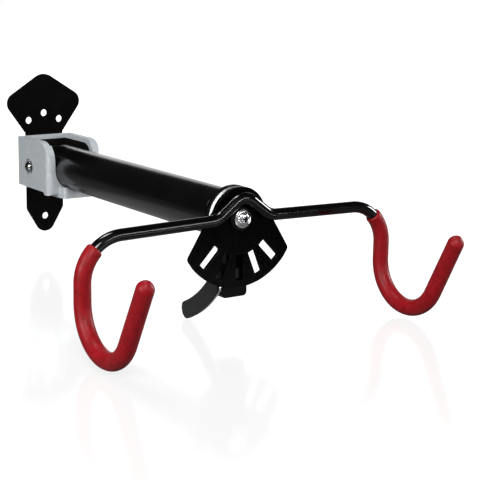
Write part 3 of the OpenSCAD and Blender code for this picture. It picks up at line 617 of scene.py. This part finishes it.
def sleeve(name, mirror):
    """Sleeve skin: rings along the hook whose radius swells a little round the bend, then a blunt point.

    The radius is the leg's plus a swell round the bend, times (1 - u ** 2) ** TIP_POWER, where u goes from
    0 to 1 over the cap. mirror is 1 or -1 for each axis.
    """
    arm, corner = right_arm_path()
    corner_angle = np.linspace(math.pi / 2 - ARM_DROOP, 0, corner)
    start = len(arm) - corner + int(np.argmax(corner_angle <= SLEEVE_START))
    path, side = right_path[start:] * mirror, right_side[start:] * mirror
    s = run[start:] - run[start]
    u = np.clip((s - (s[-1] - CAP_LEN)) / CAP_LEN, 0, 1)
    swell = LEG_THINNER * eased(s, SWELL_FROM, SWELL_OVER)
    settle = SETTLE_BY * eased(s, SETTLE_FROM, SETTLE_OVER)
    radius = (SLEEVE_R - LEG_THINNER + swell - settle) * (1 - u ** 2) ** TIP_POWER
    near_lip = np.clip(s / LIP_LEN, 0, 1)
    radius -= LIP_DROP * (1 - np.sqrt(1 - (1 - near_lip) ** 2))
    inner = ROD_R + SLEEVE_FIT
    back = (path[0] - path[1]) * MOUTH_STEP
    path = np.concatenate([path[:1] - back * MOUTH_DEPTH, path[:1] + back, path])
    side = np.concatenate([side[:1], side[:1], side])
    radius = np.concatenate([[inner], [inner], radius])
    return swept(name, path, side, radius, 56)


finish(sleeve("right_sleeve_skin", np.ones(3)), "cradle", VINYL_RED, "sleeve_red", "right_hook_sleeve")
finish(sleeve("left_sleeve_skin", MIRROR), "cradle", VINYL_RED, "sleeve_red", "left_hook_sleeve")

# ---------------------------------------------------------------- plates

plate_low, plate_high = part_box("wall_plate")
PLATE_T = plate_high.y - plate_low.y
WALL_HOLE_R = 4.25 * MM
BRACKET_HOLE_R = 3.05 * MM
BRACKET_HOLE_Z = 2          # height of the middle of the bracket's four holes, in millimetres
PLATE_EDGE = 0.5 * MM
# The right half's corners from the top down, and the radii of all corners from the top clockwise.
plate_right = np.array([[0, 109], [54, 74.7], [24.7, 34.4], [24.7, -60], [0, -101.8]]) * MM
plate_left = plate_right[3:0:-1] * [-1, 1]
plate_outline = loop_rounded(np.concatenate([plate_right, plate_left]),
                             np.array([18, 13, 2, 8, 12.8, 8, 2, 13]) * MM)
wall_holes = ((-20.4, 50), (20.4, 50), (0, 58.2), (0, -70))
plate_holes = [dot_hole(x * MM, z * MM, WALL_HOLE_R) for x, z in wall_holes]
bracket_holes = [(x, BRACKET_HOLE_Z + z) for x in (-16, 16) for z in (-15, 15)]
plate_holes += [dot_hole(x * MM, z * MM, BRACKET_HOLE_R, 28) for x, z in bracket_holes]
finish(sheet_piece("wall_plate_skin", plate_outline, plate_holes, 0, PLATE_T, PLATE_EDGE),
       "wall", WALL_BLACK, "plate_black", "wall_plate")

SECTOR_R = 70.2 * MM
SECTOR_TOP_R = 31 * MM
SECTOR_TOP_END = 20         # degrees above the horizontal at which the round top meets the flanks
SECTOR_SHOULDER = (41.5, -6.5)      # point on the right flank, in millimetres
SECTOR_CORNER = 31.2        # degrees below the horizontal at which a flank meets the lower arc
SECTOR_ROUND = 5 * MM
LOWER_START = 40            # degrees below the horizontal at which the lower arc starts, past that corner
SECTOR_EDGE = 0.6 * MM
HUB_BORE_R = 7.05 * MM
SLOT_W, SLOT_IN, SLOT_OUT = 7.8 * MM, 37.5 * MM, 62.5 * MM
SLOT_ROUND = 0.8 * MM
SLOT_STEP, SLOT_COUNT = 22, 5
sector_near, sector_far = -sector_high.y, -sector_low.y


def sector_outline():
    """Round top about the hub, straight flanks, and a wide arc below with rounded corners, in X and Z."""
    top = arc((0, 0), SECTOR_TOP_R, 180 - SECTOR_TOP_END, SECTOR_TOP_END, 40)
    shoulder = np.array([SECTOR_SHOULDER]) * MM
    slope = math.radians(SECTOR_CORNER)
    corner = SECTOR_R * np.array([[math.cos(slope), -math.sin(slope)]])
    past_corner = arc((0, 0), SECTOR_R, -LOWER_START - 2, -LOWER_START - 3, 1)
    rounded_corner = rounded_profile(np.concatenate([shoulder, corner, past_corner]), [SECTOR_ROUND], 10)
    lower = arc((0, 0), SECTOR_R, -LOWER_START, LOWER_START - 180, 60)
    right_side = rounded_corner[1:-2]
    return np.concatenate([top, shoulder, right_side, lower, right_side[::-1] * [-1, 1], shoulder * [-1, 1]])


def slot_outline(angle):
    """One radial slot with slightly rounded corners, turned to its angle about the hub."""
    w = SLOT_W / 2
    box = np.array([[-w, -SLOT_IN], [-w, -SLOT_OUT], [w, -SLOT_OUT], [w, -SLOT_IN]])
    loop = loop_rounded(box, [SLOT_ROUND] * 4, 4)
    c, s = math.cos(math.radians(angle)), math.sin(math.radians(angle))
    return loop @ np.array([[c, s], [-s, c]])


hub_bore = dot_hole(0, 0, HUB_BORE_R, 64)
sector_slots = [slot_outline((i - (SLOT_COUNT - 1) / 2) * SLOT_STEP) for i in range(SLOT_COUNT)]
finish(sheet_piece("sector_plate_skin", sector_outline(), [hub_bore] + sector_slots,
                   sector_near, sector_far, SECTOR_EDGE),
       "cradle", SECTOR_BLACK, "sector_black", "sector_plate")

# ---------------------------------------------------------------- softened castings, mouldings and fasteners

# CAD node, body, material, record slot, and the width of its rounded edges in millimetres.
SOFTENED = [
    ("pivot_bracket", "wall", CASTING_GREY, "bracket_grey", 1.4),
    # The liner's black is painted shade: it darkens the cheeks' inner faces below the rim.
    ("bracket_liner", "wall", BLACK_NYLON_AND_SHADE, "nylon_black", 0.3),
    ("pivot_bolt", "wall", MIRROR_CHROME, "bright_steel", 0.25),
    ("pivot_washer", "wall", ZINC, "zinc_steel", 0.2),
    ("pivot_nut", "wall", ZINC, "zinc_steel", 0.3),
    ("root_knuckle", "arm", HUB_BLACK, "hub_black", 0.5),
    ("hub_plug", "arm", HUB_BLACK, "hub_black", 0.8),
    ("wear_washer", "arm", RING_SILVER, "aluminium_ring", 0.3),
    ("thrust_washer", "arm", BLACK_NYLON_AND_SHADE, "nylon_black", 0.2),
    ("centre_bolt", "arm", CHROME, "bright_steel", 0.2),
    ("latch_cover", "arm", BLACK_NYLON_AND_SHADE, "nylon_black", 0.2),
    ("sector_boss", "cradle", SECTOR_BLACK, "sector_black", 0.3),
    ("lever_core", "lever", CHROME, "bright_steel", 0.3),
    ("lever_paddle", "lever", LEVER_GREY, "lever_grey", 0.9),
    ("lever_shaft", "lever", ZINC, "zinc_steel", 0.3),
    ("latch_tooth", "tooth", TOOTH_STEEL, "tooth_steel", 0.5),
]
for node, body, material, slot, width in SOFTENED:
    finish(softened(node, width * MM), body, material, slot, node)

# Small or hidden CAD nodes that are shown as they are.
PLAIN = {
    "bracket_screws": ZINC, "pivot_bushes": ACETAL, "root_rivets": ZINC, "hub_rivets": ZINC,
    "hub_sleeve": ZINC, "disc_spring": ZINC, "centre_nut": ZINC, "cover_screws": ZINC, "shaft_clip": ZINC,
}
for node, material in PLAIN.items():
    nodes[node].data.materials.clear()
    nodes[node].data.materials.append(material)

# ---------------------------------------------------------------- floor, lights, world and camera

FLOOR_SEEN = 0.8        # glow of the floor towards the camera
FLOOR_LIT = 0.24         # glow of the floor under the arm, towards the object
FLOOR_DIM = 0.02         # glow of the rest of the floor, towards the object
FLOOR_Z = cad_box[0][2] - 0.6 * MM
FLOOR_HALF = 6
POOL_SHIFT = (0.1, 0.6, -FLOOR_Z)    # the pool's middle is at minus this, divided by the scale
POOL_SCALE = (3.0, 3.0, 1.0)         # the pool's radius is one metre divided by this
floor_corners = [(x * FLOOR_HALF, y * FLOOR_HALF, FLOOR_Z) for x, y in ((-1, -1), (1, -1), (1, 1), (-1, 1))]
floor = mesh_piece("studio_floor", floor_corners, [(0, 1, 2, 3)])
pale, pale_tree, pale_surface, pale_where = shader("white_lacquered_board", IOR=1.6, Roughness=0.12)
two_tone(pale_tree, pale_surface, pale_where, "#606060", "#666666", size=0.5)
pale_surface.inputs["Emission Color"].default_value = (1, 1, 1, 1)
pool_place = add(pale_tree, "Mapping", Vector=pale_where, Location=POOL_SHIFT, Scale=POOL_SCALE)
pool = add(pale_tree, "TexGradient", {"gradient_type": "SPHERICAL"}, Vector=pool_place.outputs["Vector"])
lit = add(pale_tree, "MapRange", {"interpolation_type": "SMOOTHSTEP"}, Value=pool.outputs["Fac"],
          From_Min=0.1, From_Max=0.5, To_Min=FLOOR_DIM, To_Max=FLOOR_LIT)
floor_seen = add(pale_tree, "LightPath").outputs["Is Camera Ray"]
glow = add(pale_tree, "Mix", {"data_type": "FLOAT"}, Factor=floor_seen, A=lit.outputs["Result"], B=FLOOR_SEEN)
pale_tree.links.new(glow.outputs[0], pale_surface.inputs["Emission Strength"])
floor.data.materials.append(pale)


ROOM_LIGHT = 0.03        # radiance of the dim room
FRONT_LIGHT = 0.25       # added radiance on the camera's side of the room
BACKDROP_LIGHT = 1.2     # radiance of the white backdrop behind the object
BACKDROP_AT = (0.56, 0.802, 0.208)   # direction of the backdrop's middle
BACKDROP_EDGE = (0.96, 0.984)        # cosines from that direction between which the backdrop fades in
FRONT_EDGE = (-0.7, 0.0)             # and between which the front light fades out


def soft_box(name, place, aim, size, power):
    """A rectangular area light at place, facing aim; size is its width and height, and power is in watts."""
    data = bpy.data.lights.new(name, "AREA")
    data.shape = "RECTANGLE"
    data.size, data.size_y = size
    data.energy = power
    lamp = bpy.data.objects.new(name, data)
    back = np.asarray(place, float) - np.asarray(aim, float)
    back /= np.linalg.norm(back)
    right = np.cross([0, 0, 1.0], back)
    right /= np.linalg.norm(right)
    turn = np.column_stack([right, np.cross(back, right), back])
    lamp.matrix_world = Matrix.LocRotScale(place, Matrix(turn.tolist()), None)
    bpy.context.scene.collection.objects.link(lamp)
    return lamp


MIDDLE = (0, -0.3, 0)       # middle of the object
HUB = (0.05, -0.43, 0)      # near the hub
soft_box("key_front_left", (-0.9, -2.0, 1.4), MIDDLE, (0.8, 0.8), 36)
soft_box("side_left", (-1.9, -0.7, 0.7), MIDDLE, (0.8, 0.8), 32)
soft_box("fill_right", (2.0, -0.8, 0.5), MIDDLE, (0.6, 0.6), 26)
soft_box("strip_above", (-0.2, 0.1, 1.8), MIDDLE, (0.5, 0.8), 14)
soft_box("strip_low_front", (0.6, -1.75, 0.31), HUB, (0.7, 0.06), 4)

world = bpy.data.worlds.new("white_backdrop_dim_room")
world.use_nodes = True
sky_tree = world.node_tree
sky = sky_tree.nodes["Background"]
ahead = add(sky_tree, "VectorMath", {"operation": "DOT_PRODUCT"},
            i0=add(sky_tree, "TexCoord").outputs["Generated"], i1=BACKDROP_AT)
backdrop = add(sky_tree, "MapRange", {"interpolation_type": "SMOOTHSTEP"}, Value=ahead.outputs["Value"],
               From_Min=BACKDROP_EDGE[0], From_Max=BACKDROP_EDGE[1],
               To_Min=ROOM_LIGHT, To_Max=BACKDROP_LIGHT)
sky_seen = add(sky_tree, "LightPath").outputs["Is Camera Ray"]
front = add(sky_tree, "MapRange", Value=ahead.outputs["Value"],
            From_Min=FRONT_EDGE[0], From_Max=FRONT_EDGE[1], To_Min=FRONT_LIGHT, To_Max=0.0)
room = add(sky_tree, "Math", {"operation": "ADD"}, i0=backdrop.outputs["Result"], i1=front.outputs["Result"])
level = add(sky_tree, "Math", {"operation": "MAXIMUM"}, i0=room.outputs[0], i1=sky_seen)
sky_tree.links.new(level.outputs[0], sky.inputs["Strength"])
sky.inputs["Color"].default_value = (1, 1, 1, 1)
bpy.context.scene.world = world
bpy.context.scene.view_settings.view_transform = "Standard"

CAMERA_AT = np.array([-0.7332, -1.4809, 0.2548])
AZIMUTH, ELEVATION, ROLL = (math.radians(a) for a in (-34.836, 12.172, 0.936))
LENS_MM = 100.19
SENSOR_MM = 36
NEAR_CLIP = 0.05
view_back = np.array([math.sin(AZIMUTH) * math.cos(ELEVATION), -math.cos(AZIMUTH) * math.cos(ELEVATION),
                      math.sin(ELEVATION)])
view_right = np.array([math.cos(AZIMUTH), math.sin(AZIMUTH), 0.0])
view_up = np.cross(view_back, view_right)
rolled_right = math.cos(ROLL) * view_right + math.sin(ROLL) * view_up
rolled_up = math.cos(ROLL) * view_up - math.sin(ROLL) * view_right
camera_data = bpy.data.cameras.new("camera")
camera_data.lens = LENS_MM
camera_data.sensor_width = SENSOR_MM
camera_data.clip_start = NEAR_CLIP
camera = bpy.data.objects.new("camera", camera_data)
camera_turn = np.column_stack([rolled_right, rolled_up, view_back])
camera.matrix_world = Matrix.LocRotScale(CAMERA_AT, Matrix(camera_turn.tolist()), None)
bpy.context.scene.collection.objects.link(camera)
bpy.context.scene.camera = camera

bpy.context.view_layer.update()
